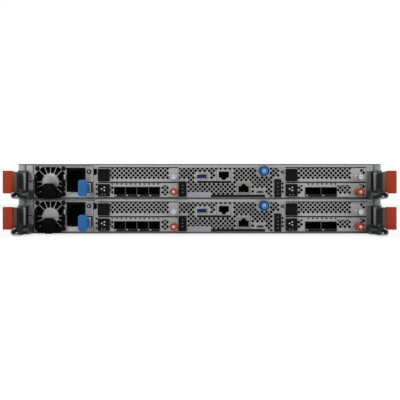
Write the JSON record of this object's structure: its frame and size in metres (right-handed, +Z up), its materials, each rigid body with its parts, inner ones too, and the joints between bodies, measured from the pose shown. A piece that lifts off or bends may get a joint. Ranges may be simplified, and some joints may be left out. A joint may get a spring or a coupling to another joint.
{
  "type": "disk shelf enclosure",
  "caption": "Rack enclosure with stacked sliding controller canisters, hot-swap power supplies, port cards, orange locking tabs, pull handles and drive modules at the front.",
  "frame": {"origin": "centre of the chassis underside", "axes": "+Z up, +X across, the input/output side with the handles faces -Y, the drives face +Y"},
  "size_m": [0.4826, 0.599, 0.086],
  "materials": {
    "zinc_steel": "zinc-plated sheet",
    "card_steel": "zinc-plated sheet",
    "psu_steel": "plated sheet",
    "latch_steel": "dark plated steel",
    "black_plastic": "moulded",
    "orange_plastic": "moulded",
    "blue_plastic": "moulded",
    "circuit_board": "solder mask",
    "drive_carrier": "moulded"
  },
  "bodies": {
    "chassis": {"chassis_shell": "zinc_steel", "chassis_cover": "zinc_steel", "canister_shelf": "zinc_steel", "drive_cage": "zinc_steel", "midplane": "circuit_board", "rack_ears": "zinc_steel"},
    "drive_11": {"drive_11": "drive_carrier"},
    "drive_12": {"drive_12": "drive_carrier"},
    "drive_13": {"drive_13": "drive_carrier"},
    "drive_14": {"drive_14": "drive_carrier"},
    "drive_21": {"drive_21": "drive_carrier"},
    "drive_22": {"drive_22": "drive_carrier"},
    "drive_23": {"drive_23": "drive_carrier"},
    "drive_24": {"drive_24": "drive_carrier"},
    "drive_31": {"drive_31": "drive_carrier"},
    "drive_32": {"drive_32": "drive_carrier"},
    "drive_33": {"drive_33": "drive_carrier"},
    "drive_34": {"drive_34": "drive_carrier"},
    "lower_canister": {"lower_tray": "zinc_steel", "lower_cover": "zinc_steel", "lower_port_panel": "zinc_steel", "lower_ports": "black_plastic", "lower_controller_board": "circuit_board", "lower_fan_bank": "black_plastic", "lower_latch_brackets": "latch_steel"},
    "lower_card_1": {"lower_card_1": "card_steel"},
    "lower_card_2": {"lower_card_2": "card_steel"},
    "lower_card_3": {"lower_card_3": "card_steel"},
    "lower_card_4": {"lower_card_4": "card_steel"},
    "lower_lock_screw": {"lower_lock_screw": "blue_plastic"},
    "lower_psu": {"lower_psu_case": "psu_steel", "lower_psu_inlet": "black_plastic"},
    "lower_psu_fan": {"lower_psu_fan": "black_plastic"},
    "lower_psu_bail": {"lower_psu_bail": "black_plastic"},
    "lower_psu_tab": {"lower_psu_tab": "blue_plastic"},
    "lower_latch_tab_left": {"lower_latch_tab_left": "orange_plastic"},
    "lower_handle_left": {"lower_handle_left": "latch_steel"},
    "lower_latch_tab_right": {"lower_latch_tab_right": "orange_plastic"},
    "lower_handle_right": {"lower_handle_right": "latch_steel"},
    "upper_canister": {"upper_tray": "zinc_steel", "upper_cover": "zinc_steel", "upper_port_panel": "zinc_steel", "upper_ports": "black_plastic", "upper_controller_board": "circuit_board", "upper_fan_bank": "black_plastic", "upper_latch_brackets": "latch_steel"},
    "upper_card_1": {"upper_card_1": "card_steel"},
    "upper_card_2": {"upper_card_2": "card_steel"},
    "upper_card_3": {"upper_card_3": "card_steel"},
    "upper_card_4": {"upper_card_4": "card_steel"},
    "upper_lock_screw": {"upper_lock_screw": "blue_plastic"},
    "upper_psu": {"upper_psu_case": "psu_steel", "upper_psu_inlet": "black_plastic"},
    "upper_psu_fan": {"upper_psu_fan": "black_plastic"},
    "upper_psu_bail": {"upper_psu_bail": "black_plastic"},
    "upper_psu_tab": {"upper_psu_tab": "blue_plastic"},
    "upper_latch_tab_left": {"upper_latch_tab_left": "orange_plastic"},
    "upper_handle_left": {"upper_handle_left": "latch_steel"},
    "upper_latch_tab_right": {"upper_latch_tab_right": "orange_plastic"},
    "upper_handle_right": {"upper_handle_right": "latch_steel"}
  },
  "joints": [
    {"name": "drive_11_slide", "type": "slide", "parent": "chassis", "child": "drive_11", "axis": [0, 1, 0], "range_m": [0, 0.2]},
    {"name": "drive_12_slide", "type": "slide", "parent": "chassis", "child": "drive_12", "axis": [0, 1, 0], "range_m": [0, 0.2]},
    {"name": "drive_13_slide", "type": "slide", "parent": "chassis", "child": "drive_13", "axis": [0, 1, 0], "range_m": [0, 0.2]},
    {"name": "drive_14_slide", "type": "slide", "parent": "chassis", "child": "drive_14", "axis": [0, 1, 0], "range_m": [0, 0.2]},
    {"name": "drive_21_slide", "type": "slide", "parent": "chassis", "child": "drive_21", "axis": [0, 1, 0], "range_m": [0, 0.2]},
    {"name": "drive_22_slide", "type": "slide", "parent": "chassis", "child": "drive_22", "axis": [0, 1, 0], "range_m": [0, 0.2]},
    {"name": "drive_23_slide", "type": "slide", "parent": "chassis", "child": "drive_23", "axis": [0, 1, 0], "range_m": [0, 0.2]},
    {"name": "drive_24_slide", "type": "slide", "parent": "chassis", "child": "drive_24", "axis": [0, 1, 0], "range_m": [0, 0.2]},
    {"name": "drive_31_slide", "type": "slide", "parent": "chassis", "child": "drive_31", "axis": [0, 1, 0], "range_m": [0, 0.2]},
    {"name": "drive_32_slide", "type": "slide", "parent": "chassis", "child": "drive_32", "axis": [0, 1, 0], "range_m": [0, 0.2]},
    {"name": "drive_33_slide", "type": "slide", "parent": "chassis", "child": "drive_33", "axis": [0, 1, 0], "range_m": [0, 0.2]},
    {"name": "drive_34_slide", "type": "slide", "parent": "chassis", "child": "drive_34", "axis": [0, 1, 0], "range_m": [0, 0.2]},
    {"name": "lower_canister_slide", "type": "slide", "parent": "chassis", "child": "lower_canister", "axis": [0, -1, 0], "range_m": [0, 0.3]},
    {"name": "lower_card_1_slide", "type": "slide", "parent": "lower_canister", "child": "lower_card_1", "axis": [0, -1, 0], "range_m": [0, 0.15]},
    {"name": "lower_card_2_slide", "type": "slide", "parent": "lower_canister", "child": "lower_card_2", "axis": [0, -1, 0], "range_m": [0, 0.15]},
    {"name": "lower_card_3_slide", "type": "slide", "parent": "lower_canister", "child": "lower_card_3", "axis": [0, -1, 0], "range_m": [0, 0.15]},
    {"name": "lower_card_4_slide", "type": "slide", "parent": "lower_canister", "child": "lower_card_4", "axis": [0, -1, 0], "range_m": [0, 0.15]},
    {"name": "lower_lock_screw_turn", "type": "hinge", "parent": "lower_canister", "child": "lower_lock_screw", "pos_m": [0.0793, -0.27, 0.03465], "axis": [0, 1, 0], "continuous": true},
    {"name": "lower_psu_slide", "type": "slide", "parent": "lower_canister", "child": "lower_psu", "axis": [0, -1, 0], "range_m": [0, 0.19]},
    {"name": "lower_psu_fan_spin", "type": "hinge", "parent": "lower_psu", "child": "lower_psu_fan", "pos_m": [-0.1846, -0.27, 0.0216], "axis": [0, 1, 0], "continuous": true},
    {"name": "lower_psu_bail_hinge", "type": "hinge", "parent": "lower_psu", "child": "lower_psu_bail", "pos_m": [-0.185, -0.275, 0.02725], "axis": [-1, 0, 0], "range_deg": [0, 90]},
    {"name": "lower_psu_tab_press", "type": "slide", "parent": "lower_psu", "child": "lower_psu_tab", "axis": [-1, 0, 0], "range_m": [0, 0.0025], "stiffness_N_per_m": 800},
    {"name": "lower_latch_tab_left_hinge", "type": "hinge", "parent": "lower_canister", "child": "lower_latch_tab_left", "pos_m": [-0.2144, -0.282, 0.02325], "axis": [0, 0, -1], "range_deg": [0, 12], "stiffness_Nm_per_rad": 1},
    {"name": "lower_handle_left_hinge", "type": "hinge", "parent": "lower_canister", "child": "lower_handle_left", "pos_m": [-0.2136, -0.293, 0.00425], "axis": [-1, 0, 0], "range_deg": [0, 90]},
    {"name": "lower_latch_tab_right_hinge", "type": "hinge", "parent": "lower_canister", "child": "lower_latch_tab_right", "pos_m": [0.2144, -0.282, 0.02325], "axis": [0, 0, 1], "range_deg": [0, 12], "stiffness_Nm_per_rad": 1},
    {"name": "lower_handle_right_hinge", "type": "hinge", "parent": "lower_canister", "child": "lower_handle_right", "pos_m": [0.2136, -0.293, 0.00425], "axis": [-1, 0, 0], "range_deg": [0, 90]},
    {"name": "upper_canister_slide", "type": "slide", "parent": "chassis", "child": "upper_canister", "axis": [0, -1, 0], "range_m": [0, 0.3]},
    {"name": "upper_card_1_slide", "type": "slide", "parent": "upper_canister", "child": "upper_card_1", "axis": [0, -1, 0], "range_m": [0, 0.15]},
    {"name": "upper_card_2_slide", "type": "slide", "parent": "upper_canister", "child": "upper_card_2", "axis": [0, -1, 0], "range_m": [0, 0.15]},
    {"name": "upper_card_3_slide", "type": "slide", "parent": "upper_canister", "child": "upper_card_3", "axis": [0, -1, 0], "range_m": [0, 0.15]},
    {"name": "upper_card_4_slide", "type": "slide", "parent": "upper_canister", "child": "upper_card_4", "axis": [0, -1, 0], "range_m": [0, 0.15]},
    {"name": "upper_lock_screw_turn", "type": "hinge", "parent": "upper_canister", "child": "upper_lock_screw", "pos_m": [0.0793, -0.27, 0.07715], "axis": [0, 1, 0], "continuous": true},
    {"name": "upper_psu_slide", "type": "slide", "parent": "upper_canister", "child": "upper_psu", "axis": [0, -1, 0], "range_m": [0, 0.19]},
    {"name": "upper_psu_fan_spin", "type": "hinge", "parent": "upper_psu", "child": "upper_psu_fan", "pos_m": [-0.1846, -0.27, 0.0641], "axis": [0, 1, 0], "continuous": true},
    {"name": "upper_psu_bail_hinge", "type": "hinge", "parent": "upper_psu", "child": "upper_psu_bail", "pos_m": [-0.185, -0.275, 0.06975], "axis": [-1, 0, 0], "range_deg": [0, 90]},
    {"name": "upper_psu_tab_press", "type": "slide", "parent": "upper_psu", "child": "upper_psu_tab", "axis": [-1, 0, 0], "range_m": [0, 0.0025], "stiffness_N_per_m": 800},
    {"name": "upper_latch_tab_left_hinge", "type": "hinge", "parent": "upper_canister", "child": "upper_latch_tab_left", "pos_m": [-0.2144, -0.282, 0.06575], "axis": [0, 0, -1], "range_deg": [0, 12], "stiffness_Nm_per_rad": 1},
    {"name": "upper_handle_left_hinge", "type": "hinge", "parent": "upper_canister", "child": "upper_handle_left", "pos_m": [-0.2136, -0.293, 0.04675], "axis": [-1, 0, 0], "range_deg": [0, 90]},
    {"name": "upper_latch_tab_right_hinge", "type": "hinge", "parent": "upper_canister", "child": "upper_latch_tab_right", "pos_m": [0.2144, -0.282, 0.06575], "axis": [0, 0, 1], "range_deg": [0, 12], "stiffness_Nm_per_rad": 1},
    {"name": "upper_handle_right_hinge", "type": "hinge", "parent": "upper_canister", "child": "upper_handle_right", "pos_m": [0.2136, -0.293, 0.04675], "axis": [-1, 0, 0], "range_deg": [0, 90]}
  ]
}
